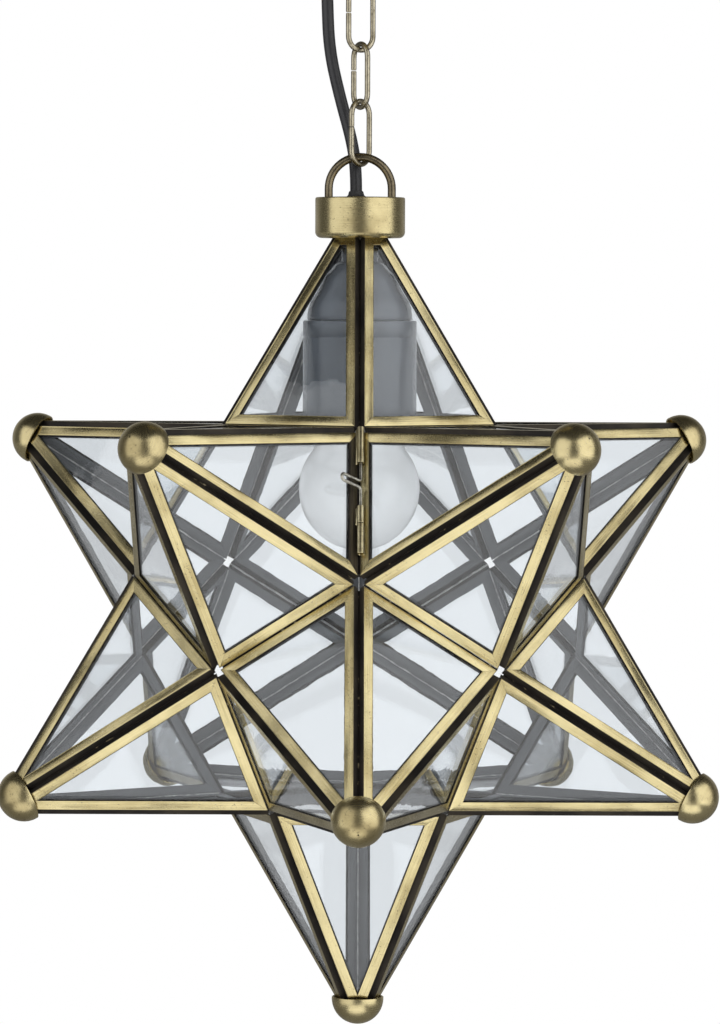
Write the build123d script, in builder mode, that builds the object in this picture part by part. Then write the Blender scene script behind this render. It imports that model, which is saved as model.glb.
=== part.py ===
from build123d import *
from math import atan, atan2, cos, pi, radians, sin, sqrt, tan
import os

# A glazed star lantern that hangs from the ceiling on a chain. Twelve hollow five-sided points stand
# on a dodecahedron: each pane has its own brass came, and the cames of a point are soldered ridge
# to ridge. The upper front left point is a hinged door with a sliding wire latch, for changing the lamp.
# Millimetres, +Z up, -Y to the front. The origin is at the ceiling, in the middle of the canopy.

# ---- star ----
STAR_REACH = 156.0          # star's centre to where the ridges of a point would meet
CAME_WIDTH = 4.0            # flange of a came, across the pane
CAME_DEPTH = 3.0            # came, from its outer to its inner flange
CAME_WEB = 0.7              # came's back wall
GLASS_THICKNESS = 2.0
GLASS_PLAY = 0.1            # glass to each flange
GLASS_EDGE_PLAY = 0.3       # glass edge to the came's back wall
RIDGE_SLIT = 0.12           # half the slit left inside each ridge
VALLEY_SET_IN = 0.2         # came's outer edge to the line of the valley
POINT_CUT = 12.0            # how far below its tip a point under a ball cap is cut off
TOP_CUT = 17.6              # the same for the top point, under the cup
CAP_RADIUS = 9.5            # ball cap, outside
CAP_WALL = 0.7
CAP_SKIRT = 0.6             # straight rim below the ball cap's dome
CAP_BELOW_TIP = 15.0        # tip to a dome's centre

# ---- door: hinge and latch ----
TUBE_RADIUS = 1.25
TUBE_BORE = 0.78
TUBE_GAP = 0.3              # along the line, from tube to tube
FOOT_WIDTH = 1.0            # solder foot under each tube
TUBE_STANDOFF = 0.28        # tube's side to the face of a came
HINGE_TUBE = 8.0            # length of one hinge tube
HINGE_TUBES = 5
HINGE_PIN_RADIUS = 0.70
PIN_HEAD_RADIUS = 1.2
PIN_HEAD = 0.6
LATCH_SIDE = 1.5            # latch line, out from the valley along the fixed pane
WIRE_RADIUS = 0.55
WIRE_BEND = 1.1
LATCH_TRAVEL = 4.0          # how far the wire drops into its catch
GUIDE_START = 1.5           # along the valley, from its upper end
GUIDE_LENGTH = 14.5
SHORT_GUIDE_START = 33.6
SHORT_GUIDE_LENGTH = 6.9
CATCH_LENGTH = 12.0
HANDLE_START = 23.5         # where the wire turns out to its finger loop
HANDLE_LOOP = 2.6           # between the loop's two limbs
HANDLE_REACH = 9.0
HANDLE_LEAN = 47.0          # degrees, from the valley's bisector towards the door

# ---- top cup, bail and fittings ----
CUP_RADIUS = 16.4
CUP_HEIGHT = 14.8
CUP_WALL = 0.8
CUP_TOP_WALL = 1.2
CUP_CURL = 2.2              # radius of the rounded lower edge
CUP_LIP = 1.6               # flat lip inside it, which the top plate lies on
PLATE_THICKNESS = 1.2
PLATE_PLAY = 0.1            # cup's lip to the plate that lies on it
PLATE_EDGE = 0.3            # plate's edge, out past the start of the cup's curl
FITTING_PLAY = 0.05         # round a wire, a nipple or a bush in its hole
BAIL_WIRE = 3.0
BAIL_WIDTH = 26.0
BAIL_HEIGHT = 16.2
NUT_HEIGHT = 2.4
BAIL_NUT_WIDTH = 5.5        # across flats
NIPPLE_RADIUS = 5.0
NIPPLE_BORE = 3.6
NIPPLE_ABOVE_PLATE = 5.0
NIPPLE_NUT_WIDTH = 14.0
BUSH_RADIUS = 4.4
BUSH_FLANGE = 1.5
BUSH_HOLE = 3.4             # hole that the bush's neck passes through

# ---- lampholder and lamp ----
BARREL_RADIUS = 20.3
BARREL_LENGTH = 39.0
BARREL_PLAY = 0.85          # barrel's upper edge to the cames of the top point
BARREL_LIP = 0.6            # how far the barrel's mouth is drawn in
HOLDER_WALL = 1.6
HOLDER_DOME = 21.0          # height of the domed cap over the barrel
DOME_SHOULDER = (8.0, 0.95) # above the split, and its play to the cames
DOME_TAPER = (16.0, 0.55)
HOLDER_NECK = 6.0           # height of the neck on the dome
HOLDER_NECK_RADIUS = 6.4
BLOCK_BELOW_SPLIT = 6.0     # contact block's underside
SHELL_RADIUS = 13.9         # screw shell, outside
SHELL_WALL = 0.5
SHELL_LENGTH = 22.0
BLOCK_THICKNESS = 9.0
LAMP_RADIUS = 22.5
LAMP_NECK = 24.5            # lamp's centre to the top of its glass
LAMP_NECK_RADIUS = 13.1
LAMP_WALL = 0.9
LAMP_CAP_RADIUS = 13.1
LAMP_CAP_LENGTH = 23.0
LAMP_CAP_SHOULDER = (6.5, 4.0)  # radius of the cap's flat end, and the height of its slope
LAMP_CAP_BELOW_SPLIT = 14.0
LAMP_CONTACT = (5.0, 2.0)   # radius, height
CONTACT_SPRING = (16.0, 5.0, 0.6)   # length, width, thickness
CONTACT_PLAY = 0.3          # lamp's contact to the spring over it
SPRING_FOOT = 3.0           # length of each of the spring's two feet

# ---- chain, flex and ceiling fittings ----
CHAIN_LINKS = 4
LINK_LENGTH = 25.0
LINK_WIDTH = 12.0
LINK_WIRE = 2.0
LINK_SEAM = 0.2             # butt joint in one leg of a link
LINK_SEAM_ABOVE = 2.0       # above the leg's middle
LINK_SLACK = 0.2            # between two links where they hang in each other
LINK_TURNS = (-75.0, 28.0, -60.0, 50.0)   # degrees about the vertical, top link first
FLEX_RADIUS = 2.2
CANOPY_RADIUS = 50.0
CANOPY_HEIGHT = 26.0
CANOPY_WALL = 1.0
CANOPY_ROUND = 9.0
EYE_WIRE = 3.0
EYE_RADIUS = 6.5            # to the middle of the wire
EYE_STEM_RADIUS = 3.0
EYE_NUT_WIDTH = 10.0
EYE_BELOW_CANOPY = 0.4
STRAP_LENGTH = 84.0
STRAP_WIDTH = 18.0
STRAP_THICKNESS = 1.6
STRAP_DROP = 10.0           # ceiling to the strap's middle
STRAP_MIDDLE = 40.0         # length of the dropped middle
STRAP_HOLE_SPACING = 68.0
STRAP_HOLE_RADIUS = 2.25
GRIP_RADIUS = 5.0
GRIP_LENGTH = 8.0
GRIP_WALL = 1.5
GRIP_STEM = 4.0             # length of the grip inside the canopy
GRIP_PLACE = (-12.5, 9.0)
FLEX_EXIT = (-1.5, 6.2)
FLEX_STRAIGHT = (10.0, 14.0)        # straight run above the cup, and below the grip
FLEX_WAY = ((-3.1, 8.4, 0.207), (-7.6, 9.3, 0.364), (-11.5, 9.4, 0.5315), (-12.3, 9.2, 0.7087))
TERMINAL_SIZE = (10.0, 16.0, 8.0)
TERMINAL_PLACE = 13.0

PHI = (1 + sqrt(5)) / 2
EDGE = STAR_REACH * 4 / sqrt(10 + 2 * sqrt(5)) / PHI**2      # an edge of the inner dodecahedron
CORNER_REACH = EDGE * PHI * sqrt(3) / 2                      # its corners, from the centre
HALF_TIP = radians(18)                                       # half of a pane's angle at the tip
PANE_HEIGHT = EDGE / 2 / tan(HALF_TIP)
HALF_DIHEDRAL = atan(PHI)                                    # between a pane and its ridge's bisector
PANE_LEAN = atan(0.5)                                        # between a pane and its point's axis
RIDGE_SET_IN = CAME_DEPTH / tan(HALF_DIHEDRAL) + RIDGE_SLIT
LINK_STEP = LINK_LENGTH - 2 * LINK_WIRE - LINK_SLACK

# Heights above the star's centre, worked down from its upper tip.
CAP_SEAT = STAR_REACH - CAP_BELOW_TIP
PLATE_FOOT = STAR_REACH - TOP_CUT
CUP_ABOVE_STAR = PLATE_FOOT - PLATE_PLAY - CUP_WALL + CUP_HEIGHT
CAME_ALOFT = CAME_DEPTH / cos(PANE_LEAN)                     # a came's depth, measured level
HOLDER_SPLIT = STAR_REACH - (BARREL_RADIUS + BARREL_PLAY + CAME_ALOFT) / tan(PANE_LEAN)
HOLDER_NECK_FOOT = HOLDER_SPLIT + HOLDER_DOME
HOLDER_MOUTH = HOLDER_SPLIT - BARREL_LENGTH
BLOCK_FOOT = HOLDER_SPLIT - BLOCK_BELOW_SPLIT
LAMP_CAP_TOP = HOLDER_SPLIT - LAMP_CAP_BELOW_SPLIT
LAMP_NECK_TOP = LAMP_CAP_TOP - LAMP_CAP_LENGTH
LAMP_CENTRE = LAMP_NECK_TOP - LAMP_NECK

# Heights, worked down from the ceiling.
EYE_BAR = -CANOPY_HEIGHT - EYE_WIRE / 2 - EYE_BELOW_CANOPY - 2 * EYE_RADIUS
FIRST_LINK_TOP = EYE_BAR + EYE_WIRE / 2 + LINK_WIRE / 2 + LINK_SLACK
LAST_LINK_FOOT = FIRST_LINK_TOP - (CHAIN_LINKS - 1) * LINK_STEP - (LINK_LENGTH - LINK_WIRE)
BAIL_CROWN = LAST_LINK_FOOT + LINK_WIRE / 2 + BAIL_WIRE / 2 + LINK_SLACK
CUP_TOP = BAIL_CROWN + BAIL_WIRE / 2 - BAIL_HEIGHT
STAR_Z = CUP_TOP - CUP_ABOVE_STAR
STAR = Vector(0, 0, STAR_Z)

os.makedirs("parts", exist_ok=True)


def save(solid, name):
    """Label a finished piece and write it as its own file."""
    solid.label = name
    export_step(solid, f"parts/{name}.step")


def above_star(height):
    """A level plane at a height above the star's centre."""
    return Plane.XY.offset(STAR_Z + height)


# ---- the star's directions ----
def ring(names, first_angle, lean):
    """Five directions round the vertical, counted anticlockwise from first_angle."""
    return {
        name: Vector(cos(a) * cos(lean), sin(a) * cos(lean), sin(lean))
        for name, a in zip(names, [radians(first_angle + 72 * k) for k in range(5)])
    }


UPPER = ["front_right", "right", "back", "left", "front_left"]
LOWER = ["front", "right", "back_right", "back_left", "left"]
POINTS = {"top": Vector(0, 0, 1), "bottom": Vector(0, 0, -1)}
POINTS |= {f"upper_{n}": d for n, d in ring(UPPER, -54, PANE_LEAN).items()}
POINTS |= {f"lower_{n}": d for n, d in ring(LOWER, -90, -PANE_LEAN).items()}
DOOR = "upper_front_left"


def pane_plane(point, left, right):
    """The outer plane of a pane: origin in the middle of its valley, Y up the pane, Z out of the star."""
    middle = (left + right) * 0.5
    along = (right - left).normalized()
    up = (point * STAR_REACH - middle).normalized()
    return Plane(origin=STAR + middle, x_dir=along, z_dir=along.cross(up))


def pane_planes(point):
    """The five pane planes of a point, each with the direction of the point across its valley."""
    near = [d for d in POINTS.values() if abs(point.dot(d) - 1 / sqrt(5)) < 0.01]
    side = (near[0] - point * point.dot(near[0])).normalized()
    across = point.cross(side)
    near.sort(key=lambda d: atan2(d.dot(across), d.dot(side)))
    planes = []
    for k, facing in enumerate(near):
        before, after = near[k - 1], near[(k + 1) % 5]
        left = (point + facing + before).normalized() * CORNER_REACH
        right = (point + facing + after).normalized() * CORNER_REACH
        planes.append((pane_plane(point, left, right), facing))
    return planes


def plane_towards(point, facing):
    """A point's pane plane at the valley that it shares with another point."""
    return next(plane for plane, other in pane_planes(point) if (other - facing).length < 0.01)


def pane_outline(margin, axial_cut):
    """Corners of a pane set in by a margin all round. It is cut off below the tip where the cut comes first."""
    ridge = RIDGE_SET_IN + margin
    low = VALLEY_SET_IN + margin
    tip = PANE_HEIGHT - ridge / sin(HALF_TIP)
    high = PANE_HEIGHT - axial_cut / cos(PANE_LEAN) - margin

    def half_width(y):
        return (tip - y) * tan(HALF_TIP)

    foot = [(-half_width(low), low), (half_width(low), low)]
    if high >= tip:
        return foot + [(0, tip)]
    return foot + [(half_width(high), high), (-half_width(high), high)]


def point_cames(point, axial_cut):
    """The five came frames of a point, each a mitred channel open to its pane."""
    slot = GLASS_THICKNESS + 2 * GLASS_PLAY
    lip = (CAME_DEPTH - slot) / 2
    with BuildPart() as cames:
        for plane, _ in pane_planes(point):
            with BuildSketch(plane):
                Polygon(*pane_outline(0, axial_cut), align=None)
                Polygon(*pane_outline(CAME_WIDTH, axial_cut), align=None, mode=Mode.SUBTRACT)
            extrude(amount=-CAME_DEPTH)
            with BuildSketch(plane.offset(-lip)):
                Polygon(*pane_outline(CAME_WEB, axial_cut), align=None)
            extrude(amount=-slot, mode=Mode.SUBTRACT)
    return cames.part


def point_glass(point, axial_cut):
    """The five panes of a point, in the middle of their cames."""
    with BuildPart() as glass:
        for plane, _ in pane_planes(point):
            with BuildSketch(plane.offset(-(CAME_DEPTH - GLASS_THICKNESS) / 2)):
                Polygon(*pane_outline(CAME_WEB + GLASS_EDGE_PLAY, axial_cut), align=None)
            extrude(amount=-GLASS_THICKNESS)
    return glass.part


def ball_cap(point):
    """A pressed dome over the cut end of a point."""
    side = point.cross(Vector(0.3, 0.2, 1) if abs(point.Z) < 0.9 else Vector(0, 1, 0)).normalized()
    centre = STAR + point * CAP_SEAT
    inside = CAP_RADIUS - CAP_WALL
    with BuildPart() as cap:
        with BuildSketch(Plane(origin=centre, x_dir=side, z_dir=side.cross(point))):
            with BuildLine():
                Polyline((inside, 0), (inside, -CAP_SKIRT), (CAP_RADIUS, -CAP_SKIRT), (CAP_RADIUS, 0))
                CenterArc((0, 0), CAP_RADIUS, 0, 90)
                Line((0, CAP_RADIUS), (0, inside))
                CenterArc((0, 0), inside, 0, 90)
            make_face()
        revolve(axis=Axis(centre, point))
    return cap.part


for name, direction in POINTS.items():
    cut = TOP_CUT if name == "top" else POINT_CUT
    save(point_cames(direction, cut), f"cames_{name}")
    save(point_glass(direction, cut), f"glass_{name}")
    if name in (DOOR, "bottom"):
        save(ball_cap(direction), f"ball_cap_{name}")

for row in ("upper", "lower"):
    with BuildPart() as caps:
        for name, direction in POINTS.items():
            if name.startswith(row) and name != DOOR:
                add(ball_cap(direction))
    save(caps.part, f"ball_caps_{row}")


# ---- door: hinge tubes, pin and latch ----
def tube(line, start, length, foot_reach):
    """A tube along a line's Z, with a solder foot towards the line's X. The foot ends on a came's face."""
    with BuildPart() as body:
        with BuildSketch(line.offset(start)):
            Circle(TUBE_RADIUS)
            Rectangle(foot_reach, FOOT_WIDTH, align=(Align.MIN, Align.CENTER))
            Circle(TUBE_BORE, mode=Mode.SUBTRACT)
        extrude(amount=length)
    return body.part


def line_beside(valley_plane, from_valley, from_face, foot_plane, downwards):
    """A line along a valley's edge, placed from one pane's face, whose X points into another came's face."""
    origin = valley_plane.origin + valley_plane.y_dir * from_valley + valley_plane.z_dir * from_face
    upper_end = origin - downwards * (EDGE / 2)
    return Plane(origin=upper_end, x_dir=-foot_plane.z_dir, z_dir=downwards)


def downhill(plane):
    """The direction of a valley's edge, pointing down."""
    return plane.x_dir if plane.x_dir.Z < 0 else -plane.x_dir


def reach_to(line, plane):
    """Distance from a line to a pane's plane."""
    return (line.origin - plane.origin).dot(plane.z_dir)


axis_height = TUBE_RADIUS + TUBE_STANDOFF
door_side = plane_towards(POINTS[DOOR], POINTS["upper_left"])
wall_side = plane_towards(POINTS["upper_left"], POINTS[DOOR])
down = downhill(wall_side)
axis_offset = axis_height / tan(HALF_DIHEDRAL)
hinge_wall = line_beside(wall_side, axis_offset, axis_height, wall_side, down)
hinge_door = line_beside(wall_side, axis_offset, axis_height, door_side, down)
hinge_length = HINGE_TUBES * HINGE_TUBE + (HINGE_TUBES - 1) * TUBE_GAP
hinge_start = (EDGE - hinge_length) / 2

for first, line, face, name in (
    (0, hinge_wall, wall_side, "hinge_tubes_frame"),
    (1, hinge_door, door_side, "hinge_tubes_door"),
):
    with BuildPart() as tubes:
        for k in range(first, HINGE_TUBES, 2):
            add(tube(line, hinge_start + k * (HINGE_TUBE + TUBE_GAP), HINGE_TUBE, reach_to(line, face)))
    save(tubes.part, name)

with BuildPart() as hinge_pin:
    with BuildSketch(hinge_wall.offset(hinge_start - TUBE_GAP)):
        Circle(HINGE_PIN_RADIUS)
    extrude(amount=hinge_length + 2 * TUBE_GAP)
    for end in (hinge_start - TUBE_GAP - PIN_HEAD, hinge_start + hinge_length + TUBE_GAP):
        with BuildSketch(hinge_wall.offset(end)):
            Circle(PIN_HEAD_RADIUS)
        extrude(amount=PIN_HEAD)
save(hinge_pin.part, "hinge_pin")

latch_wall = plane_towards(POINTS["upper_front_right"], POINTS[DOOR])
latch_door = plane_towards(POINTS[DOOR], POINTS["upper_front_right"])
down = downhill(latch_wall)
guide_line = line_beside(latch_wall, LATCH_SIDE, axis_height, latch_door, down)
catch_line = line_beside(latch_wall, LATCH_SIDE, axis_height, latch_wall, down)
guide_foot = reach_to(guide_line, latch_door)
catch_start = SHORT_GUIDE_START + SHORT_GUIDE_LENGTH + TUBE_GAP

with BuildPart() as latch_guides:
    add(tube(guide_line, GUIDE_START, GUIDE_LENGTH, guide_foot))
    add(tube(guide_line, SHORT_GUIDE_START, SHORT_GUIDE_LENGTH, guide_foot))
save(latch_guides.part, "latch_guides")
save(tube(catch_line, catch_start, CATCH_LENGTH, axis_height), "latch_catch")

# The wire lies in one plane: along the latch line, with its finger loop leaning out over the door.
bisector = (latch_wall.z_dir + latch_door.z_dir).normalized()
towards_door = (latch_door.y_dir - bisector * latch_door.y_dir.dot(bisector)).normalized()
lean = radians(HANDLE_LEAN)
loop_dir = bisector * cos(lean) + towards_door * sin(lean)
wire_plane = Plane(origin=guide_line.origin, x_dir=down, z_dir=down.cross(loop_dir))
wire_top = GUIDE_START + LATCH_TRAVEL / 2 - 1
wire_foot = SHORT_GUIDE_START + SHORT_GUIDE_LENGTH - TUBE_GAP
with BuildPart() as latch_wire:
    with BuildLine(wire_plane):
        FilletPolyline(
            (wire_top, 0),
            (HANDLE_START, 0),
            (HANDLE_START, HANDLE_REACH),
            (HANDLE_START + HANDLE_LOOP, HANDLE_REACH),
            (HANDLE_START + HANDLE_LOOP, 0),
            (wire_foot, 0),
            radius=WIRE_BEND,
        )
    with BuildSketch(Plane(origin=wire_plane.from_local_coords(Vector(wire_top, 0, 0)), z_dir=down)):
        Circle(WIRE_RADIUS)
    sweep()
save(latch_wire.part, "latch_wire")

# ---- top plate, cup, bail and their fittings ----
cup_foot = CUP_ABOVE_STAR - CUP_HEIGHT
cup_inside = CUP_RADIUS - CUP_WALL
bail_leg = (BAIL_WIDTH - BAIL_WIRE) / 2

with BuildPart() as top_plate:
    with BuildSketch(above_star(PLATE_FOOT)):
        Circle(CUP_RADIUS - CUP_CURL + PLATE_EDGE)
        Circle(NIPPLE_RADIUS + FITTING_PLAY, mode=Mode.SUBTRACT)
    extrude(amount=PLATE_THICKNESS)
save(top_plate.part, "top_plate")

with BuildPart() as cup:
    with BuildSketch(Plane.XZ):
        with BuildLine():
            curl = CUP_RADIUS - CUP_CURL
            low = STAR_Z + cup_foot
            shoulder = low + CUP_CURL
            lip = curl - CUP_LIP
            Polyline((curl, low), (lip, low), (lip, low + CUP_WALL), (curl, low + CUP_WALL))
            CenterArc((curl, shoulder), CUP_CURL - CUP_WALL, -90, 90)
            Polyline(
                (cup_inside, shoulder),
                (cup_inside, CUP_TOP - CUP_TOP_WALL),
                (0, CUP_TOP - CUP_TOP_WALL),
                (0, CUP_TOP),
                (CUP_RADIUS, CUP_TOP),
                (CUP_RADIUS, shoulder),
            )
            CenterArc((curl, shoulder), CUP_CURL, -90, 90)
        make_face()
    revolve(axis=Axis.Z)
    with BuildSketch(Plane.XY.offset(CUP_TOP)):
        with Locations((-bail_leg, 0), (bail_leg, 0)):
            Circle(BAIL_WIRE / 2 + FITTING_PLAY)
        with Locations(FLEX_EXIT):
            Circle(BUSH_HOLE)
    extrude(amount=-CUP_TOP_WALL, mode=Mode.SUBTRACT)
save(cup.part, "cup")

leg_foot = CUP_TOP - CUP_TOP_WALL - NUT_HEIGHT - 1.5
with BuildPart() as bail:
    with BuildLine(Plane.XZ):
        Line((-bail_leg, leg_foot), (-bail_leg, BAIL_CROWN - bail_leg))
        ThreePointArc(
            (-bail_leg, BAIL_CROWN - bail_leg), (0, BAIL_CROWN), (bail_leg, BAIL_CROWN - bail_leg)
        )
        Line((bail_leg, BAIL_CROWN - bail_leg), (bail_leg, leg_foot))
    with BuildSketch(Plane.XY.offset(leg_foot)):
        with Locations((-bail_leg, 0)):
            Circle(BAIL_WIRE / 2)
    sweep()
save(bail.part, "bail")


def hex_nut(plane, places, across_flats, bore, height):
    """Hexagon nuts on a plane, standing up along its normal."""
    with BuildPart() as nuts:
        with BuildSketch(plane):
            with Locations(*places):
                RegularPolygon(across_flats / 2, 6, major_radius=False)
                Circle(bore, mode=Mode.SUBTRACT)
        extrude(amount=height)
    return nuts.part


nut_plane = Plane.XY.offset(CUP_TOP - CUP_TOP_WALL - NUT_HEIGHT)
legs = [(-bail_leg, 0), (bail_leg, 0)]
save(hex_nut(nut_plane, legs, BAIL_NUT_WIDTH, BAIL_WIRE / 2 + FITTING_PLAY, NUT_HEIGHT), "bail_nuts")

plate_top = PLATE_FOOT + PLATE_THICKNESS
with BuildPart() as nipple:
    with BuildSketch(above_star(HOLDER_NECK_FOOT)):
        Circle(NIPPLE_RADIUS)
        Circle(NIPPLE_BORE, mode=Mode.SUBTRACT)
    extrude(amount=plate_top + NIPPLE_ABOVE_PLATE - HOLDER_NECK_FOOT)
save(nipple.part, "nipple")
save(
    hex_nut(above_star(plate_top), [(0, 0)], NIPPLE_NUT_WIDTH, NIPPLE_RADIUS + FITTING_PLAY, NUT_HEIGHT),
    "nipple_nut",
)

with BuildPart() as cord_bush:
    for start, length, outside in (
        (CUP_TOP, BUSH_FLANGE, BUSH_RADIUS),
        (CUP_TOP - CUP_TOP_WALL, CUP_TOP_WALL, BUSH_HOLE - FITTING_PLAY),
    ):
        with BuildSketch(Plane.XY.offset(start)):
            with Locations(FLEX_EXIT):
                Circle(outside)
        extrude(amount=length)
    fillet(cord_bush.faces().sort_by(Axis.Z)[-1].edges(), 0.7)
save(cord_bush.part, "cord_bush")

# ---- lampholder and lamp ----
def inside_top_point(height, play):
    """Radius of a round piece that clears the cames of the top point at a height above the star's centre."""
    return (STAR_REACH - height) * tan(PANE_LEAN) - CAME_ALOFT - play


shoulder_height = HOLDER_SPLIT + DOME_SHOULDER[0]
taper_height = HOLDER_SPLIT + DOME_TAPER[0]
dome_shoulder = (inside_top_point(shoulder_height, DOME_SHOULDER[1]), STAR_Z + shoulder_height)
dome_taper = (inside_top_point(taper_height, DOME_TAPER[1]), STAR_Z + taper_height)
skirt = BARREL_RADIUS - HOLDER_WALL
split_z = STAR_Z + HOLDER_SPLIT
neck_foot = STAR_Z + HOLDER_NECK_FOOT
neck_top = neck_foot + HOLDER_NECK

with BuildPart() as holder_cap:
    with BuildSketch(Plane.XZ):
        with BuildLine():
            Polyline(
                (skirt - HOLDER_WALL, split_z),
                (skirt, split_z),
                (skirt, split_z + 2),
                dome_shoulder,
                dome_taper,
                (HOLDER_NECK_RADIUS + 2, neck_foot),
                (HOLDER_NECK_RADIUS, neck_foot),
                (HOLDER_NECK_RADIUS, neck_top),
                (NIPPLE_RADIUS + FITTING_PLAY, neck_top),
                (NIPPLE_RADIUS + FITTING_PLAY, neck_foot - HOLDER_WALL),
                (dome_taper[0] - HOLDER_WALL, dome_taper[1] - HOLDER_WALL),
                (dome_shoulder[0] - HOLDER_WALL, dome_shoulder[1] - HOLDER_WALL),
                (skirt - HOLDER_WALL, split_z + HOLDER_WALL),
                close=True,
            )
        make_face()
    revolve(axis=Axis.Z)
save(holder_cap.part, "lampholder_cap")

with BuildPart() as barrel:
    with BuildSketch(Plane.XZ):
        with BuildLine():
            mouth = STAR_Z + HOLDER_MOUTH
            Polyline(
                (skirt - BARREL_LIP, mouth),
                (BARREL_RADIUS - BARREL_LIP, mouth),
                (BARREL_RADIUS, mouth + 3),
                (BARREL_RADIUS, split_z),
                (SHELL_RADIUS + 0.1, split_z),
                (SHELL_RADIUS + 0.1, split_z - BLOCK_BELOW_SPLIT / 2),
                (skirt, split_z - BLOCK_BELOW_SPLIT),
                close=True,
            )
        make_face()
    revolve(axis=Axis.Z)
save(barrel.part, "lampholder_barrel")

with BuildPart() as contact_block:
    with BuildSketch(above_star(BLOCK_FOOT)):
        Circle(SHELL_RADIUS - 0.2)
    extrude(amount=BLOCK_THICKNESS)
save(contact_block.part, "contact_block")

with BuildPart() as screw_shell:
    with BuildSketch(above_star(BLOCK_FOOT - SHELL_LENGTH)):
        Circle(SHELL_RADIUS)
        Circle(SHELL_RADIUS - SHELL_WALL, mode=Mode.SUBTRACT)
    extrude(amount=SHELL_LENGTH)
save(screw_shell.part, "screw_shell")

with BuildPart() as lamp_glass:
    with BuildSketch(Plane.XZ):
        with BuildLine():
            middle = (0, STAR_Z + LAMP_CENTRE)
            glass_end = STAR_Z + LAMP_NECK_TOP
            outer = CenterArc(middle, LAMP_RADIUS, -90, 130)
            outer_neck = TangentArc(outer @ 1, (LAMP_NECK_RADIUS, glass_end), tangent=outer % 1)
            inner = CenterArc(middle, LAMP_RADIUS - LAMP_WALL, -90, 130)
            inner_neck = TangentArc(inner @ 1, (LAMP_NECK_RADIUS - LAMP_WALL, glass_end), tangent=inner % 1)
            Line(outer @ 0, inner @ 0)
            Line(outer_neck @ 1, inner_neck @ 1)
        make_face()
    revolve(axis=Axis.Z)
save(lamp_glass.part, "lamp_glass")

with BuildPart() as lamp_cap:
    with BuildSketch(Plane.XZ):
        with BuildLine():
            cap_foot = STAR_Z + LAMP_NECK_TOP
            cap_top = STAR_Z + LAMP_CAP_TOP
            end_radius, slope = LAMP_CAP_SHOULDER
            Polyline(
                (0, cap_foot),
                (LAMP_CAP_RADIUS, cap_foot),
                (LAMP_CAP_RADIUS, cap_top - slope),
                (end_radius, cap_top),
                (0, cap_top),
                close=True,
            )
        make_face()
    revolve(axis=Axis.Z)
save(lamp_cap.part, "lamp_screw_cap")

contact_radius, contact_height = LAMP_CONTACT
with BuildPart() as lamp_contact:
    with BuildSketch(above_star(LAMP_CAP_TOP)):
        Circle(contact_radius)
    extrude(amount=contact_height)
    fillet(lamp_contact.faces().sort_by(Axis.Z)[-1].edges(), 0.6 * contact_height)
save(lamp_contact.part, "lamp_contact")

spring_length, spring_width, spring_thickness = CONTACT_SPRING
spring_foot = LAMP_CAP_TOP + contact_height + CONTACT_PLAY
spring_top = spring_foot + spring_thickness
feet = (spring_length - SPRING_FOOT) / 2 - 0.5
with BuildPart() as centre_contact:
    with BuildSketch(above_star(spring_foot)):
        Rectangle(spring_length, spring_width)
    extrude(amount=spring_thickness)
    with BuildSketch(above_star(spring_top)):
        with Locations((-feet, 0), (feet, 0)):
            Rectangle(SPRING_FOOT, spring_width)
    extrude(amount=BLOCK_FOOT - spring_top)
save(centre_contact.part, "centre_contact")


# ---- chain ----
def chain_link(top_bar, turn):
    """One oval link of round wire. top_bar is the height of the middle of its upper end."""
    bend = (LINK_WIDTH - LINK_WIRE) / 2
    upper = top_bar - bend
    lower = top_bar - (LINK_LENGTH - LINK_WIRE) + bend
    upright = Plane.XZ.rotated((0, 0, turn))
    seam = (upper + lower) / 2 + LINK_SEAM_ABOVE
    first, last = seam + LINK_SEAM / 2, seam - LINK_SEAM / 2
    with BuildPart() as link:
        with BuildLine(upright):
            Line((-bend, first), (-bend, upper))
            ThreePointArc((-bend, upper), (0, upper + bend), (bend, upper))
            Line((bend, upper), (bend, lower))
            ThreePointArc((bend, lower), (0, lower - bend), (-bend, lower))
            Line((-bend, lower), (-bend, last))
        with BuildSketch(Plane(origin=upright.from_local_coords(Vector(-bend, first, 0)), z_dir=(0, 0, 1))):
            Circle(LINK_WIRE / 2)
        sweep()
    return link.part


for k in range(CHAIN_LINKS):
    link_turn = LINK_TURNS[k % len(LINK_TURNS)]
    save(chain_link(FIRST_LINK_TOP - k * LINK_STEP, link_turn), f"chain_link_{k + 1}")

# ---- ceiling fittings ----
with BuildPart() as canopy:
    with BuildSketch(Plane.XZ):
        with BuildLine():
            inside = CANOPY_RADIUS - CANOPY_WALL
            knee = -CANOPY_HEIGHT + CANOPY_ROUND
            flat = CANOPY_RADIUS - CANOPY_ROUND
            Polyline((inside, knee), (inside, 0), (CANOPY_RADIUS, 0), (CANOPY_RADIUS, knee))
            CenterArc((flat, knee), CANOPY_ROUND, -90, 90)
            Polyline(
                (flat, -CANOPY_HEIGHT), (0, -CANOPY_HEIGHT), (0, CANOPY_WALL - CANOPY_HEIGHT),
                (flat, CANOPY_WALL - CANOPY_HEIGHT),
            )
            CenterArc((flat, knee), CANOPY_ROUND - CANOPY_WALL, -90, 90)
        make_face()
    revolve(axis=Axis.Z)
    with BuildSketch(Plane.XY.offset(-CANOPY_HEIGHT)):
        Circle(EYE_STEM_RADIUS + 2 * FITTING_PLAY)
        with Locations(GRIP_PLACE):
            Circle(GRIP_RADIUS - GRIP_WALL)
    extrude(amount=CANOPY_WALL, mode=Mode.SUBTRACT)
save(canopy.part, "canopy")

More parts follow.
